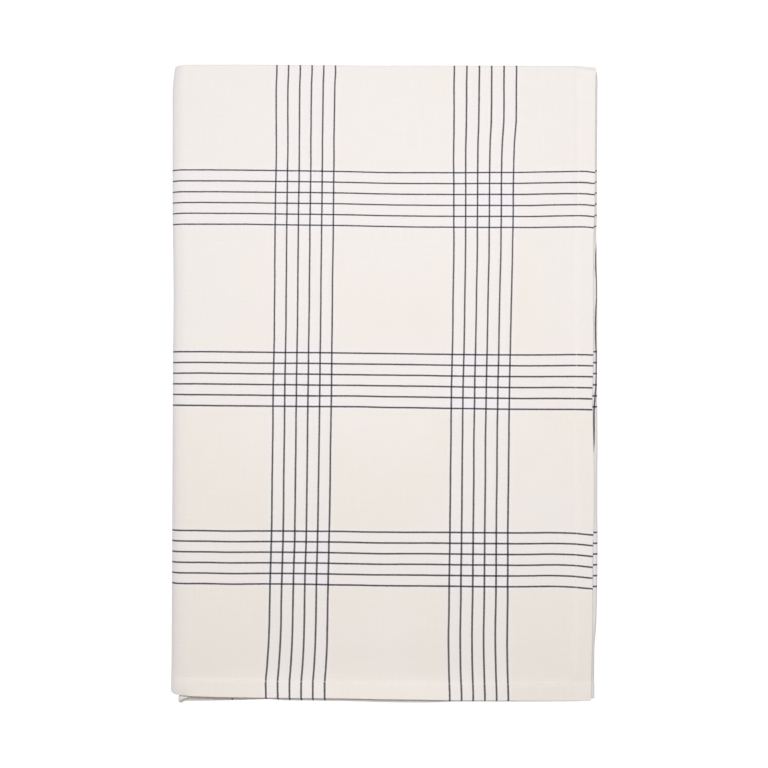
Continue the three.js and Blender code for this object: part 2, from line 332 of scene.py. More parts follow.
def crease_height(x, y):
    total = np.zeros(np.broadcast(x, y).shape)
    for c in CREASES:
        turn = math.radians(c["turn"])
        along = (x - c["x"]) * math.cos(turn) + (y - c["y"]) * math.sin(turn)
        across = (y - c["y"]) * math.cos(turn) - (x - c["x"]) * math.sin(turn)
        bow = across - 0.012 * along * along / max(c["across"], 1) * 0.5
        total += c["height"] * np.exp(-((along / c["along"]) ** 2) ** 1.4 - (bow / c["across"]) ** 2)
    # Slow waves that no press takes out of a cloth of this size.
    total += 0.10 * np.sin(x / 31 + 1.1 * np.sin(y / 83) + 0.4) * np.sin(y / 47 + 0.9 * np.sin(x / 71))
    total += 0.05 * np.sin(x / 13.7 + y / 29 + 2.0) * np.sin(y / 21 - x / 37)
    return total


def settled(x, y, z):
    """Moves a place in the stack: settled middle, plies that lie unevenly, and soft creases that
    fade out downwards. The underside stays flat."""
    share = np.clip(z / STACK, 0, 1)
    body = np.sin(math.pi * share)
    loose = 1 - 0.8 * np.maximum(ramp(-262, -286, y), ramp(165, 188, x))
    lie = body * loose * (
        0.30 * np.sin(z * 0.86 + 1.3 + 0.011 * x + 0.006 * y)
        + 0.10 * np.sin(z * 1.53 + 0.7 - 0.014 * x + 0.009 * y)
    )
    z = z + lie
    z = z * (1 - SETTLE * np.maximum(0, 1 - (x / 200) ** 2) * np.maximum(0, 1 - (y / 300) ** 2))
    return z + crease_height(x, y) * ramp(11, 21.5, z)


def make_sheet():
    across, plies = make_routes()
    half_ply, outer_ply = 0.5 * PITCH + BODY / 2, HALF_STRIP
    half_packet = 0.5 * PACKET + HALF_STRIP
    places = np.array([across.place(k, 390.0) for k in range(across.count)])
    ends = {name: smooth(LENGTH_ENDS, "at", name, places)[:, None] for name in ("hem", "under", "half", "far")}
    ply_ends = dict(hem=ends["hem"], half=ends["half"] + half_ply, under=ends["under"], far=ends["far"] - outer_ply)
    shape = (across.count, plies.count)
    wide = {k: np.broadcast_to(v, shape) for k, v in ply_ends.items()}
    mid_y = plies.along_route(wide["hem"], wide["half"], wide["under"], wide["far"])
    sides = {name: smooth(SIDE_ENDS, "y", name, mid_y) for name in ("hem", "half", "under", "left", "roll")}
    wider = (sides["roll"] - HALF_STRIP) / (1.5 * PACKET)
    # The packet route's far end is the left one, so its distances are minus X.
    packet_ends = dict(
        hem=-sides["hem"], half=-(sides["half"] - half_packet), under=-sides["under"],
        far=-sides["left"] - sides["roll"])
    tall = {k: v.T for k, v in packet_ends.items()}
    nested = np.minimum(0.78 * (sides["roll"] - 11), 0.36 * (sides["roll"] - 4.9))
    # At the bottom left corner the inner fold flares past the outer one, which ends sooner there.
    nested = nested + 1.6 * (1 - ramp(-300.5, -294.0, mid_y)) - 0.6 * (1 - ramp(-305.0, -300.5, mid_y))
    middle_along = across.along_route(
        tall["hem"], tall["half"], tall["under"], tall["far"], wider.T, nested.T).T
    column = lambda values: np.asarray(values)[:, None]
    out_along = column(across.along) / np.where(column(across.kind == "outer"), wider, 1.0)
    out_up = np.broadcast_to(column(across.up), shape)
    size = np.hypot(out_along, out_up)
    out_along, out_up = out_along / size, out_up / size
    level = column(across.level) + out_up * plies.level
    mid_along = middle_along + out_along * plies.level
    # The half fold is pressed a little square, all its plies alike from the fold's middle.
    turn = math.pi * column(across.share)
    power = PRESSED + PRESSED_MORE * ramp(100, 210, mid_y)
    square = (np.abs(np.sin(turn)) ** power + np.abs(np.cos(turn)) ** power) ** (-1 / power)
    square = np.where(column(across.kind == "half"), square, 1.0)
    mid_along = packet_ends["half"] + square * (mid_along - packet_ends["half"])
    level = square * (level + PACKET) - PACKET
    mid_x = -mid_along
    mid_z = level + 1.5 * PACKET + HALF_STRIP
    normal = np.stack([-out_along * plies.up, np.broadcast_to(plies.along, shape), out_up * plies.up], -1)

    # Distance to the free edges, and the thickness on either side of the mid surface.
    du = np.where(
        column(across.kind == "run") & column(across.index == 0), middle_along - packet_ends["hem"],
        np.where(column(across.kind == "run") & column(across.index == 3), middle_along - packet_ends["under"], 300.0))
    dv = np.where(
        (plies.kind == "run") & (plies.index == 0), mid_y - wide["hem"],
        np.where((plies.kind == "run") & (plies.index == 3), mid_y - wide["under"], 300.0))
    hem = np.maximum(hem_mask(du), hem_mask(dv)) + 0.25 * hem_mask(du) * hem_mask(dv)
    seam = np.exp(-(((du - SEAM) / 1.1) ** 2)) * (dv > SEAM - 1) + np.exp(-(((dv - SEAM) / 1.1) ** 2)) * (du > SEAM - 1)
    edge = np.clip(np.minimum(du, dv) / EDGE_ROUND, 0, 1)
    rounded = 0.22 + 0.78 * np.sqrt(1 - (1 - edge) ** 2)
    proud = ramp(0.4, 3.5, mid_z)  # the underside stays flat, so its hem thickens upwards only
    face = rounded * (BODY / 2 + HEM_FACE * hem * proud - 0.12 * np.minimum(seam, 1) * proud)
    back = rounded * (BODY / 2 + (HEM_BACK + HEM_FACE * (1 - proud)) * hem - 0.16 * np.minimum(seam, 1))

    z = settled(mid_x, mid_y, mid_z)
    # Towards the right and bottom edges the plies below the outermost one sink into the stack.
    inward = np.minimum(204.0 - mid_x, mid_y + 301.5)
    droop = DROOP + DROOP_MORE * ramp(-186, -166, mid_x) * (1 - ramp(60, 120, mid_x))
    sunk = droop * (1 - ramp(1.0, 15.0, inward))
    # The hems of the outermost ply stand up a little along their seams and sink again to the edge.
    top = column((across.kind == "run") & (across.index == 0)) * ((plies.kind == "run") & (plies.index == 0))
    tip = 1.6 * ramp(-150, -60, mid_x) * (1 - ramp(30, 105, mid_x))
    at_bottom = ramp(-188, -130, mid_x) * (1 - 0.5 * ramp(75, 130, mid_x)) * hem_ridge(dv, 13, tip)
    at_right = 0.8 * hem_ridge(du, 6, -0.3) * (1 - 0.6 * ramp(-270, -290, mid_y))
    z = z - np.where(top, 0.0, sunk * np.maximum(z - 5.0, 0)) + top * np.maximum(at_bottom, at_right)
    middle = np.stack([mid_x, mid_y, z], -1)
    right = middle + normal * face[..., None]
    wrong = middle - normal * back[..., None]
    outside = np.stack([
        middle_along + out_along * 1.5 * PITCH, column(across.level) + out_up * 1.5 * PITCH])
    cloth_u, cloth_v = cloth_places(across, plies, mid_x, mid_y, sides, wide, outside)
    return dict(
        across=across, plies=plies, right=right, wrong=wrong, normal=normal, u=cloth_u, v=cloth_v,
        du=du, dv=dv, rows=across.count, columns=plies.count)


def through(points, at):
    """Straight lines through (place, value) pairs, each an array, with the last slopes kept."""
    value = None
    for (p0, v0), (p1, v1) in zip(points, points[1:]):
        line = v0 + (v1 - v0) * (at - p0) / (p1 - p0)
        value = line if value is None else np.where(at > p0, line, value)
    return value


def cloth_places(across, plies, x, y, sides, ends, outside):
    """Cloth coordinates u and v of every station, laid so that the check falls as it lies. outside
    is the path of the outermost ply, along and up."""
    column = lambda values: np.asarray(values)[:, None]
    first, last = -2.5 * DOWN["pitch"], 2.5 * DOWN["pitch"]
    centre = [DOWN["first"] + DOWN["repeat"] * k for k in range(5)]
    lie = {k: smooth(LIE_DOWN, "y", k, y) for k in ("left1", "left6", "right1", "right6")}

    def on_top(at):
        """u on the top packet, where x is at."""
        return through([
            (-sides["hem"], 0.0), (-lie["right6"], centre[0] + first), (-lie["right1"], centre[0] + last),
            (-lie["left6"], centre[1] + first), (-lie["left1"], centre[1] + last),
            (-lie["left1"] + 60, centre[1] + last + 60)], -at)

    half_radius = 0.5 * PACKET + 1.5 * PITCH
    left = sides["left"] + sides["roll"]
    right = sides["half"] - 0.5 * PACKET - HALF_STRIP
    begins = on_top(left)
    steps = np.concatenate([np.zeros((1, x.shape[1])), np.hypot(*np.diff(outside, axis=1))])
    first_turn, last_turn = (int(v) for v in np.flatnonzero(across.kind == "outer")[[0, -1]])
    steps[:first_turn] = 0
    rolled = np.cumsum(steps, 0)
    past = smooth(LEAN, "y", "past", y)
    crest = centre[4] + last - past
    run1_from, run1_to = begins + rolled[last_turn + 1], crest - half_radius * math.pi / 2
    run2_from = crest + half_radius * math.pi / 2
    share, kind, index = column(across.share), column(across.kind), column(across.index)
    run3_from = run2_from + (right - left) + 2.5
    # The fold's own unevenness is pulled in near the fold only; away from it the lines lie straight.
    ends_past = LEAN[0]["past"], LEAN[-1]["past"]
    pull = past - (ends_past[0] + (ends_past[1] - ends_past[0]) * (LEAN[0]["y"] - y) / (LEAN[0]["y"] - LEAN[-1]["y"]))
    straight_to = run1_to + pull
    u = np.select(
        [
            (kind == "run") & (index == 0), kind == "outer", (kind == "run") & (index == 1),
            kind == "half", (kind == "run") & (index == 2), kind == "inner",
        ],
        [
            on_top(x), begins + rolled,
            run1_from + (straight_to - run1_from) * (x - left) / (right - left) - pull * ramp(right - 150, right, x),
            run1_to + (run2_from - run1_to) * share, run2_from + (right - x), run2_from + (right - left) + 2.5 * share,
        ],
        run3_from + (x - left))

    heights = ("upper1", "upper6", "middle1", "middle6", "lower1", "lower6")
    bands = [ACROSS["first"] + ACROSS["repeat"] * k for k in (2, 1, 0)]
    near, away = -2.5 * ACROSS["pitch"], 2.5 * ACROSS["pitch"]
    values = [bands[0] + away, bands[0] + near, bands[1] + away, bands[1] + near, bands[2] + away, bands[2] + near]
    # The lie drifts from the left fold to the half fold along the packet beneath.
    drift = np.clip(np.select(
        [(kind == "run") & (index == 0), kind == "outer", (kind == "run") & (index == 1)],
        [0.0 * x, 0.0 * x, (x - left) / (right - left)], 1.0), 0, 1)
    under = np.select([(kind == "run") & (index == 0)], [0.0 * x], 1.0)
    rows = {}
    for name in heights:
        lies = smooth(LIE_ACROSS, "x", name, np.where(under > 0, -200.0, x))
        rows[name] = lies + (LIE_AT_HALF[name] - lies) * drift
    order = list(zip(heights, values))[::-1]
    hem_y = ends["hem"]
    far_y = ends["far"]

    def laid(at):
        points = [(hem_y, 0.0)] + [(rows[name], value) for name, value in order]
        points.append((rows["upper1"] + 60, values[0] + 60))
        return through(points, at)

    v = laid(y)
    tangent = laid(far_y)
    # Past the far fold v counts on by distance.
    level = np.broadcast_to(plies.level, y.shape)
    steps = np.hypot(np.diff(y, axis=1), np.diff(level, axis=1))
    walked = np.concatenate([np.zeros((len(y), 1)), np.cumsum(steps, 1)], 1)
    turn = int(np.argmax(plies.kind == "outer"))
    v = np.where(np.arange(plies.count) >= turn, tangent + walked - walked[:, turn - 1][:, None], v)
    return u, v


def bake_places(sheet):
    """A layout in the unit square for each corner: the right side of the outermost ply takes the
    most of it, above all on the top and the underside, and the hidden plies little."""
    across, plies = sheet["across"], sheet["plies"]

    def spread(route, points, weights, fold_weight):
        steps = np.abs(np.diff(points, axis=0)).sum(-1).mean(-1) if points.ndim == 3 else points
        scaled = []
        for k in range(route.count - 1):
            kind, index = route.kind[k], route.index[k]
            weight = weights[index] if kind == "run" and route.kind[k + 1] == "run" else fold_weight[min(index, 2)]
            scaled.append(max(steps[k], 0.25) * weight)
        places = np.concatenate([[0.0], np.cumsum(scaled)])
        return places / places[-1]

    middle = (sheet["right"] + sheet["wrong"]) / 2
    along_u = spread(across, middle, (1.0, 0.72, 0.12, 0.12), (0.9, 0.5, 0.2))
    along_v = spread(plies, np.swapaxes(middle, 0, 1), (1.0, 0.07, 0.07, 0.07), (0.8, 0.3, 0.2))
    return along_u, along_v


def new_mesh(name, places, faces, smooth_faces=True):
    mesh = bpy.data.meshes.new(name)
    mesh.from_pydata((np.asarray(places) * MM).tolist(), [], np.asarray(faces).tolist())
    mesh.update()
    if smooth_faces:
        mesh.polygons.foreach_set("use_smooth", np.ones(len(mesh.polygons), bool))
    piece = bpy.data.objects.new(name, mesh)
    bpy.context.scene.collection.objects.link(piece)
    return piece


def add_vectors(mesh, name, values):
    attribute = mesh.attributes.new(name, "FLOAT_VECTOR", "POINT")
    attribute.data.foreach_set("vector", np.asarray(values, np.float32).ravel())


def sheet_piece(sheet, shift):
    rows, columns = sheet["rows"], sheet["columns"]
    number = np.arange(rows * columns).reshape(rows, columns)
    other = number + rows * columns
    a, b, c, d = number[:-1, :-1], number[:-1, 1:], number[1:, 1:], number[1:, :-1]
    front = np.stack([a, b, c, d], -1).reshape(-1, 4)
    back = np.stack([a, d, c, b], -1).reshape(-1, 4) + rows * columns
    rims = []
    for line, far_side in ((number[:, 0], False), (number[:, -1], True), (number[0, :], True), (number[-1, :], False)):
        p, q = line[:-1], line[1:]
        beyond = rows * columns
        quad = np.stack([p, q, q + beyond, p + beyond], -1)
        rims.append(quad[:, ::-1] if far_side else quad)
    faces = np.concatenate([front, back, *rims])
    places = np.concatenate([sheet["right"].reshape(-1, 3), sheet["wrong"].reshape(-1, 3)])
    triangles = np.concatenate([faces[:, [0, 1, 2]], faces[:, [0, 2, 3]]])
    p = places[triangles]
    if np.einsum("ij,ij->i", p[:, 0], np.cross(p[:, 1], p[:, 2])).sum() < 0:
        faces = faces[:, ::-1]
    places = places + np.array([shift[0], shift[1], 0.0])
    places[:, 2] = np.maximum(places[:, 2], 0.0)
    piece = new_mesh("cloth", places, faces)
    mesh = piece.data
    twice = lambda values: np.concatenate([np.ravel(values)] * 2)
    side = np.concatenate([np.zeros(rows * columns), np.ones(rows * columns)])
    add_vectors(mesh, "weave_place", np.stack([twice(sheet["u"]), twice(sheet["v"]), side], -1))
    add_vectors(mesh, "edge_place", np.stack([twice(sheet["du"]), twice(sheet["dv"]), side], -1))

    # The layout for baking: right side above, wrong side in a narrow strip below, rims between.
    along_u, along_v = bake_places(sheet)
    grid_u, grid_v = np.meshgrid(along_u, along_v, indexing="ij")
    spot = np.concatenate([
        np.stack([0.004 + 0.992 * grid_u.ravel(), 0.095 + 0.901 * grid_v.ravel()], -1),
        np.stack([0.004 + 0.992 * grid_u.ravel(), 0.004 + 0.078 * grid_v.ravel()], -1)])
    loops = np.empty(len(mesh.loops), np.int32)
    mesh.loops.foreach_get("vertex_index", loops)
    corner_spots = spot[loops].reshape(-1, 4, 2)
    # Each rim is a thin ribbon of its own between the two sides' areas.
    first_rim = len(front) + len(back)
    vertex = loops.reshape(-1, 4)
    base = 0.0835
    for k, count in enumerate([rows - 1, rows - 1, columns - 1, columns - 1]):
        part = slice(first_rim, first_rim + count)
        ids = vertex[part]
        cells = ids % (rows * columns)
        run = (cells // columns) / (rows - 1) if count == rows - 1 else (cells % columns) / (columns - 1)
        up = (ids >= rows * columns) * 0.0019
        corner_spots[part, :, 0] = 0.004 + 0.992 * run
        corner_spots[part, :, 1] = base + up
        base += 0.0027
        first_rim += count
    layer = mesh.uv_layers.new(name="OFBake")
    layer.data.foreach_set("uv", corner_spots.reshape(-1, 2).astype(np.float32).ravel())
    return piece


# ---- Stitches along the seams of the top hems ----
def seam_line(sheet, which):
    across, plies = sheet["across"], sheet["plies"]
    if which == "right":
        row = int(np.argmin(np.abs(across.more - SEAM) + 1000 * ((across.kind != "run") | (across.index != 0) | (across.share > 0))))
        keep = (plies.kind == "run") & (plies.index == 0)
        return sheet["right"][row, keep], sheet["normal"][row, keep]
    line = int(np.argmin(np.abs(plies.more - SEAM) + 1000 * ((plies.kind != "run") | (plies.index != 0) | (plies.share > 0))))
    keep = (across.kind == "run") & (across.index == 0)
    return sheet["right"][keep, line], sheet["normal"][keep, line]


def stitches_piece(sheet, shift):
    length, step, radius, sides = 2.5, 3.1, 0.17, 6
    profile = [(-0.5, 0.0, -0.16), (-0.47, 0.55, -0.10), (-0.36, 0.92, 0.02), (0.0, 1.0, 0.07), (0.36, 0.92, 0.02), (0.47, 0.55, -0.10), (0.5, 0.0, -0.16)]
    places, faces = [], []
    for which in ("right", "bottom"):
        points, normals = seam_line(sheet, which)
        gone = np.concatenate([[0.0], np.cumsum(np.linalg.norm(np.diff(points, axis=0), axis=1))])
        at = SEAM + 1.0
        while at < gone[-1] - 3.0:
            middle = np.array([np.interp(at, gone, points[:, k]) for k in range(3)])
            before = np.array([np.interp(at - 1, gone, points[:, k]) for k in range(3)])
            after = np.array([np.interp(at + 1, gone, points[:, k]) for k in range(3)])
            upward = np.array([np.interp(at, gone, normals[:, k]) for k in range(3)])
            forward = (after - before) / np.linalg.norm(after - before)
            upward = upward - forward * (upward @ forward)
            upward /= np.linalg.norm(upward)
            aside = np.cross(forward, upward)
            wobble = 0.05 * math.sin(at * 0.9) + 0.04 * math.sin(at * 2.3 + 1)
            start = len(places)
            for share, size, height in profile:
                ring = middle + forward * share * length + upward * (height + 0.02) + aside * wobble * (1 + share)
                if size == 0:
                    places.append(ring)
                    continue
                for k in range(sides):
                    turn = 2 * math.pi * k / sides
                    places.append(ring + radius * size * (aside * math.cos(turn) + upward * math.sin(turn)))
            ring_at = [start + 1 + sides * r for r in range(len(profile) - 2)]
            end = ring_at[-1] + sides
            for k in range(sides):
                after_k = (k + 1) % sides
                faces.append((start, ring_at[0] + after_k, ring_at[0] + k))
                for r in range(len(ring_at) - 1):
                    low, high = ring_at[r], ring_at[r + 1]
                    faces.append((low + k, low + after_k, high + after_k, high + k))
                faces.append((end, ring_at[-1] + k, ring_at[-1] + after_k))
            at += step * (1 + 0.04 * math.sin(at * 1.7))
    mesh = bpy.data.meshes.new("hem_stitches")
    mesh.from_pydata(((np.array(places) + np.array([shift[0], shift[1], 0.0])) * MM).tolist(), [], faces)
    mesh.update()
    mesh.polygons.foreach_set("use_smooth", np.ones(len(mesh.polygons), bool))
    piece = bpy.data.objects.new("hem_stitches", mesh)
    bpy.context.scene.collection.objects.link(piece)
    return piece


# ---- Materials ----
class Net:
    """Short ways to add nodes to a material's tree."""

    def __init__(self, name):
        self.material = bpy.data.materials.new(name)
        self.material.use_nodes = True
        self.tree = self.material.node_tree
        self.tree.nodes.clear()
        self.output = self.tree.nodes.new("ShaderNodeOutputMaterial")
        self.shader = self.tree.nodes.new("ShaderNodeBsdfPrincipled")
        self.link(self.shader.outputs[0], self.output.inputs[0])

    def link(self, source, target):
        self.tree.links.new(source, target)

    def put(self, value, socket):
        if isinstance(value, bpy.types.NodeSocket):
            self.link(value, socket)
        else:
            socket.default_value = value

    def math(self, operation, *values):
        node = self.tree.nodes.new("ShaderNodeMath")
        node.operation = operation
        for value, socket in zip(values, node.inputs):
            self.put(value, socket)
        return node.outputs[0]

    def add(self, a, b):
        return self.math("ADD", a, b)

    def take(self, a, b):
        return self.math("SUBTRACT", a, b)

    def times(self, a, b):
        return self.math("MULTIPLY", a, b)

    def step(self, value, low, high, to_low=0.0, to_high=1.0):
        node = self.tree.nodes.new("ShaderNodeMapRange")
        node.interpolation_type = "SMOOTHSTEP"
        for value_in, name in ((value, "Value"), (low, "From Min"), (high, "From Max"), (to_low, "To Min"), (to_high, "To Max")):
            self.put(value_in, node.inputs[name])
        return node.outputs[0]

    def vector(self, x, y, z=0.0):
        node = self.tree.nodes.new("ShaderNodeCombineXYZ")
        for value, socket in zip((x, y, z), node.inputs):
            self.put(value, socket)
        return node.outputs[0]

    def noise(self, vector, scale, detail=2.0, roughness=0.5):
        node = self.tree.nodes.new("ShaderNodeTexNoise")
        self.link(vector, node.inputs["Vector"])
        node.inputs["Scale"].default_value = scale
        node.inputs["Detail"].default_value = detail
        node.inputs["Roughness"].default_value = roughness
        return node.outputs[0]

    def attribute(self, name):
        node = self.tree.nodes.new("ShaderNodeAttribute")
        node.attribute_name = name
        split = self.tree.nodes.new("ShaderNodeSeparateXYZ")
        self.link(node.outputs["Vector"], split.inputs[0])
        return split.outputs[0], split.outputs[1], split.outputs[2]

    def mix(self, share, a, b):
        node = self.tree.nodes.new("ShaderNodeMix")
        node.data_type = "RGBA"
        self.put(share, node.inputs["Factor"])
        self.put(a, [s for s in node.inputs if s.name == "A" and s.type == "RGBA"][0])
        self.put(b, [s for s in node.inputs if s.name == "B" and s.type == "RGBA"][0])
        return [s for s in node.outputs if s.type == "RGBA"][0]

    def bump(self, height, distance, strength, normal=None):
        node = self.tree.nodes.new("ShaderNodeBump")
        self.put(height, node.inputs["Height"])
        node.inputs["Distance"].default_value = distance
        node.inputs["Strength"].default_value = strength
        if normal is not None:
            self.link(normal, node.inputs["Normal"])
        return node.outputs[0]


YARN = 0.52  # from one yarn to the next
WHITE = (0.900, 0.858, 0.828, 1)
WARM = (0.896, 0.842, 0.786, 1)
COOL = (0.902, 0.872, 0.905, 1)
DARK = (0.0165, 0.0168, 0.0205, 1)


def band_lines(net, place, chart, waver, width, v):
    """1 on the dark lines of one direction's bands, with edges as soft as yarn; and 1 all over its
    bands."""
    start = chart["first"] - 2.5 * chart["pitch"]
    shifted = net.add(net.take(place, start - 6.0), waver)
    within = net.take(net.math("FLOORED_MODULO", shifted, chart["repeat"]), 6.0)
    line = net.math("ROUND", net.math("DIVIDE", within, chart["pitch"]))
    line = net.math("MINIMUM", net.math("MAXIMUM", line, 0.0), LINES - 1.0)
    off = net.math("ABSOLUTE", net.take(within, net.times(line, chart["pitch"])))
    from_middle = net.math("ABSOLUTE", net.take(within, 2.5 * chart["pitch"]))
    band = net.step(from_middle, 2.5 * chart["pitch"] + 1.0, 2.5 * chart["pitch"] + 6.0, 1.0, 0.0)
    half_width = net.step(v, width["begins"], width["ends"], width["near"] / 2, width["away"] / 2)
    return net.step(net.take(off, half_width), -0.16, 0.16, 1.0, 0.0), band


def cloth_material():
    net = Net("woven_cotton")
    u, v, _side = net.attribute("weave_place")
    du, dv, _same = net.attribute("edge_place")

    # Yarns are never quite straight, and their thickness varies along them.
    sway_u = net.times(net.take(net.noise(net.vector(net.times(u, 0.03), net.times(v, 0.022)), 1.0, 1.0), 0.5), 0.7)
    sway_v = net.times(net.take(net.noise(net.vector(net.times(u, 0.022), net.times(v, 0.03), 7.0), 1.0, 1.0), 0.5), 0.7)
    fuzz_u = net.times(net.take(net.noise(net.vector(net.times(u, 2.4), net.times(v, 0.5), 3.0), 1.0, 1.0), 0.5), 0.36)
    fuzz_v = net.times(net.take(net.noise(net.vector(net.times(u, 0.5), net.times(v, 2.4), 5.0), 1.0, 1.0), 0.5), 0.36)
    down, down_band = band_lines(net, u, DOWN, net.add(sway_u, fuzz_u), LINE_DOWN, v)
    across, across_band = band_lines(net, v, ACROSS, net.add(sway_v, fuzz_v), LINE_ACROSS, v)

    # Plain weave: over and under take turns from yarn to yarn.
    wave_u = net.math("SINE", net.times(net.add(u, sway_u), math.pi / YARN))
    wave_v = net.math("SINE", net.times(net.add(v, sway_v), math.pi / YARN))
    weave = net.times(wave_u, wave_v)
    over = net.step(weave, -0.5, 0.5)
    under = net.take(1.0, over)
    dark_down = net.times(down, net.add(0.80, net.times(over, 0.17)))
    dark_across = net.times(across, net.add(0.82, net.times(under, 0.17)))
    light_left = net.times(net.take(1.0, dark_down), net.take(1.0, dark_across))

    # Thicker and thinner yarns, and slow differences in tone.
    slub_u = net.noise(net.vector(net.times(u, 1.15), net.times(v, 0.035), 11.0), 1.0, 2.0)
    slub_v = net.noise(net.vector(net.times(u, 0.035), net.times(v, 1.15), 13.0), 1.0, 2.0)
    slow = net.noise(net.vector(net.times(u, 0.009), net.times(v, 0.009), 17.0), 1.0, 2.0)
    slubs = net.add(net.step(slub_u, 0.35, 0.75, -0.5, 0.5), net.step(slub_v, 0.35, 0.75, -0.5, 0.5))
    # Painted light: the cloth colour is made warmer towards the bottom hem and cooler towards the top left, standing in
    # for the colour of the light that falls there.
    painted_warm_light = net.step(v, 60.0, 520.0, 0.22, -0.16)
    painted_warm_light = net.take(painted_warm_light, net.times(net.step(v, 420.0, 560.0), net.step(u, 240.0, 330.0, 0.0, 0.22)))
    ground = net.mix(net.step(net.add(net.add(slow, painted_warm_light), net.times(slubs, 0.10)), 0.30, 0.72), WHITE, WARM)
    # The undyed yarns among the lines are a cooler white.
    ground = net.mix(net.times(net.add(down_band, across_band), 0.45), ground, COOL)
    # Painted light at the hems: a painted highlight along the bottom hem and inside the right hem, and painted shade on
    # the cloth just past the right hem.
    hem_highlight_amount = net.step(u, 50.0, 150.0, 0.022, 0.046)
    painted_hem_highlight = net.add(
        net.times(net.step(dv, HEM - 1.5, HEM + 1.5, 1.0, 0.0), hem_highlight_amount),
        net.times(net.step(du, HEM - 3.5, HEM - 0.5, 1.0, 0.0), net.step(v, 400.0, 500.0, 0.006, 0.014)))
    # Painted shade on the cloth just past the right hem's inner edge.
    painted_seam_shade = net.times(
        net.step(net.math("ABSOLUTE", net.take(du, HEM + 1.2)), 0.6, 4.0, 1.0, 0.0),
        net.step(v, 400.0, 500.0, 0.010, 0.026))
    # Slubs vary the tone; the weave adds a painted highlight on the crowns of its yarns and painted shade in the gaps
    # between them.
    shade = net.add(0.985, net.add(net.times(slubs, 0.018), net.times(net.math("ABSOLUTE", weave), 0.012)))
    shade = net.add(shade, net.take(painted_hem_highlight, painted_seam_shade))
    tone = net.tree.nodes.new("ShaderNodeVectorMath")
    tone.operation = "SCALE"
    net.link(ground, tone.inputs[0])
    net.link(shade, tone.inputs["Scale"])
    colour = net.mix(light_left, DARK, tone.outputs[0])
    net.link(colour, net.shader.inputs["Base Color"])

    rough = net.add(0.84, net.add(net.times(slubs, 0.05), net.times(light_left, 0.04)))
    net.link(rough, net.shader.inputs["Roughness"])
    net.shader.inputs["Specular IOR Level"].default_value = 0.22
    net.shader.inputs["Sheen Weight"].default_value = 0.12
    net.shader.inputs["Sheen Roughness"].default_value = 0.55

    # Height in millimetres: the weave, its slubs, and fine puckers that the seams draw in.
    fine = net.add(net.times(net.math("ABSOLUTE", weave), 0.030), net.times(slubs, 0.020))
    near_u = net.step(net.math("ABSOLUTE", net.take(du, SEAM)), 0.5, 6.5, 1.0, 0.0)
    near_v = net.step(net.math("ABSOLUTE", net.take(dv, SEAM)), 0.5, 6.5, 1.0, 0.0)
    pucker_u = net.times(near_u, net.noise(net.vector(net.times(u, 0.10), net.times(net.add(v, net.times(u, 0.5)), 0.21), 19.0), 1.0, 2.0))
    pucker_v = net.times(near_v, net.noise(net.vector(net.times(net.add(u, net.times(v, 0.5)), 0.21), net.times(v, 0.10), 23.0), 1.0, 2.0))
    crumple = net.noise(net.vector(net.times(u, 0.045), net.times(v, 0.045), 29.0), 1.0, 3.0, 0.45)
    coarse = net.add(net.times(net.add(pucker_u, pucker_v), 0.16), net.times(crumple, 0.22))
    normal = net.bump(coarse, 0.001, 1.0)
    normal = net.bump(fine, 0.001, 1.0, normal)
    net.link(normal, net.shader.inputs["Normal"])
    return net.material


def thread_material():
    net = Net("sewing_thread")
    place = net.tree.nodes.new("ShaderNodeTexCoord").outputs["Object"]
    twist = net.noise(place, 2600.0, 2.0)
    tone = net.mix(net.step(twist, 0.3, 0.7), (0.87, 0.82, 0.77, 1), (0.93, 0.89, 0.85, 1))
    net.link(tone, net.shader.inputs["Base Color"])
    net.link(net.add(0.62, net.times(twist, 0.14)), net.shader.inputs["Roughness"])
    net.shader.inputs["Specular IOR Level"].default_value = 0.3
    net.shader.inputs["Sheen Weight"].default_value = 0.1
    net.link(net.bump(twist, 0.00006, 0.8), net.shader.inputs["Normal"])
    return net.material


def floor_material():
    net = Net("plain_floor")
    net.shader.inputs["Base Color"].default_value = (0.12, 0.12, 0.12, 1)
    net.shader.inputs["Roughness"].default_value = 0.9
    net.shader.inputs["Specular IOR Level"].default_value = 0.0
    net.shader.inputs["Emission Color"].default_value = (0.985, 0.99, 1.0, 1)
    net.shader.inputs["Emission Strength"].default_value = 0.985
    return net.material


def wall_material():
    net = Net("plain_wall")
    net.shader.inputs["Base Color"].default_value = (0.0, 0.0, 0.0, 1)
    net.shader.inputs["Roughness"].default_value = 1.0
    net.shader.inputs["Specular IOR Level"].default_value = 0.0
    net.shader.inputs["Emission Color"].default_value = (1.0, 1.0, 1.0, 1)
    net.shader.inputs["Emission Strength"].default_value = 1.0
    net.material.cycles.emission_sampling = "NONE"
    return net.material


# ---- The pieces ----
low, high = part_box("tablecloth")
shift = (
    high.x / MM - max(row["half"] for row in SIDE_ENDS),
    high.y / MM - max(row["far"] for row in LENGTH_ENDS),
)
sheet = make_sheet()
cloth = sheet_piece(sheet, shift)
cloth.data.materials.append(cloth_material())
stitches = stitches_piece(sheet, shift)
stitches.data.materials.append(thread_material())
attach(cloth, "root")
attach(stitches, "root")
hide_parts("tablecloth")

# ---- Floor, light and camera ----
floor_mesh = bpy.data.meshes.new("floor")
floor_mesh.from_pydata([(-40, -40, -0.0002), (40, -40, -0.0002), (40, 40, -0.0002), (-40, 40, -0.0002)], [], [(0, 1, 2, 3)])
floor = bpy.data.objects.new("floor", floor_mesh)
bpy.context.scene.collection.objects.link(floor)
floor.data.materials.append(floor_material())
floor.visible_diffuse = False  # the glow of the floor is for the eye; the room below lights the sides

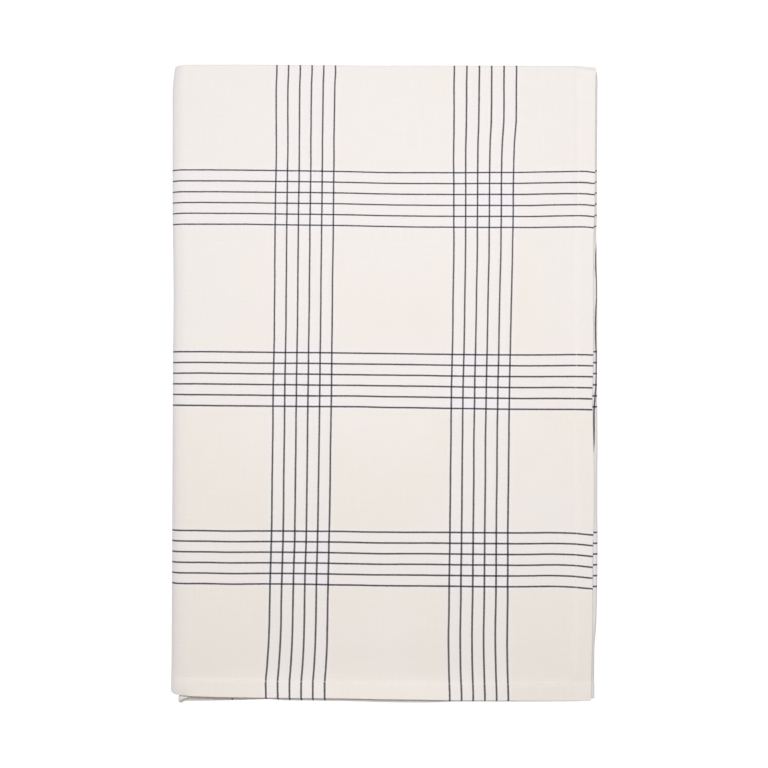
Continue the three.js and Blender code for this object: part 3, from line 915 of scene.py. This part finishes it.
# A plain pale wall far behind, all the way round, where a low view would look past the floor.
WALL_RADIUS, WALL_HEIGHT, WALL_SIDES = 20.0, 12.0, 96
wall_ring = [(math.cos(a) * WALL_RADIUS, math.sin(a) * WALL_RADIUS) for a in np.arange(WALL_SIDES) * 2 * math.pi / WALL_SIDES]
wall_mesh = bpy.data.meshes.new("wall")
wall_mesh.from_pydata(
    [(x, y, z) for z in (-0.1, WALL_HEIGHT) for x, y in wall_ring], [],
    [((k + 1) % WALL_SIDES, k, k + WALL_SIDES, (k + 1) % WALL_SIDES + WALL_SIDES) for k in range(WALL_SIDES)])
wall = bpy.data.objects.new("wall", wall_mesh)
bpy.context.scene.collection.objects.link(wall)
wall.data.materials.append(wall_material())
# It is for the eye only, and lights and shades nothing.
wall.visible_diffuse = wall.visible_glossy = wall.visible_transmission = wall.visible_volume_scatter = wall.visible_shadow = False

world = bpy.data.worlds.new("studio")
bpy.context.scene.world = world
world.use_nodes = True
background = world.node_tree.nodes["Background"]
# Low down, the room is brighter and cooler on the left and at the back, and dimmer and warmer in
# front. Each row is what that direction adds, as red, green and blue.
room = world.node_tree
LOW_ROOM = dict(all=(0.485, 0.482, 0.492), right=(-0.19, -0.195, -0.215), back=(0.185, 0.217, 0.243), left_back=(0.21, 0.21, 0.43))
EVERYWHERE = (0.140, 0.130, 0.116)


def room_node(kind, operation, *values):
    node = room.nodes.new(kind)
    if operation:
        node.operation = operation
    for socket, value in zip(node.inputs, values):
        if isinstance(value, bpy.types.NodeSocket):
            room.links.new(value, socket)
        else:
            socket.default_value = value
    return node.outputs[0]


toward = room.nodes.new("ShaderNodeTexCoord")
parts = room.nodes.new("ShaderNodeSeparateXYZ")
room.links.new(toward.outputs["Generated"], parts.inputs[0])
rightward, backward, upward = parts.outputs
low_down = room_node("ShaderNodeMapRange", None, upward, 0.5, 0.0, 0.0, 1.0)
leftward = room_node("ShaderNodeMath", "MULTIPLY", room_node("ShaderNodeMath", "MINIMUM", rightward, 0.0), -1.0)
left_back = room_node("ShaderNodeMath", "MULTIPLY", leftward, room_node("ShaderNodeMath", "ADD", backward, 1.0))
glow = room_node("ShaderNodeVectorMath", "MULTIPLY_ADD", rightward, LOW_ROOM["right"], LOW_ROOM["all"])
glow = room_node("ShaderNodeVectorMath", "MULTIPLY_ADD", backward, LOW_ROOM["back"], glow)
glow = room_node("ShaderNodeVectorMath", "MULTIPLY_ADD", left_back, LOW_ROOM["left_back"], glow)
glow = room_node("ShaderNodeVectorMath", "MAXIMUM", glow, (0.0, 0.0, 0.0))
glow = room_node("ShaderNodeVectorMath", "MULTIPLY_ADD", glow, low_down, EVERYWHERE)
room.links.new(glow, background.inputs["Color"])
background.inputs["Strength"].default_value = 1.0


def soft_light(name, place, aim, size, power, colour):
    light = bpy.data.lights.new(name, "AREA")
    light.shape = "SQUARE"
    light.size = size
    light.energy = power
    light.color = colour
    lamp = bpy.data.objects.new(name, light)
    bpy.context.scene.collection.objects.link(lamp)
    lamp.location = place
    direction = np.array(aim, float) - np.array(place, float)
    from mathutils import Vector

    lamp.rotation_euler = Vector(direction).to_track_quat("-Z", "Y").to_euler()
    return lamp


soft_light("key", (0.027, 0.29, 1.65), (0, 0.0, 0), 0.45, 23.68, (0.985, 0.985, 0.985))

camera_data = bpy.data.cameras.new("camera")
camera_data.sensor_width = 36.0
camera_data.lens = 74.18
camera_data.clip_start = 0.05
camera_data.clip_end = 50.0
camera = bpy.data.objects.new("camera", camera_data)
bpy.context.scene.collection.objects.link(camera)
camera.location = ((-0.95 + shift[0]) * MM, shift[1] * MM, 1.522)
camera.rotation_euler = (0.0, 0.0, 0.0)
bpy.context.scene.camera = camera

bpy.context.scene.view_settings.view_transform = "Standard"
bpy.context.scene.view_settings.look = "None"
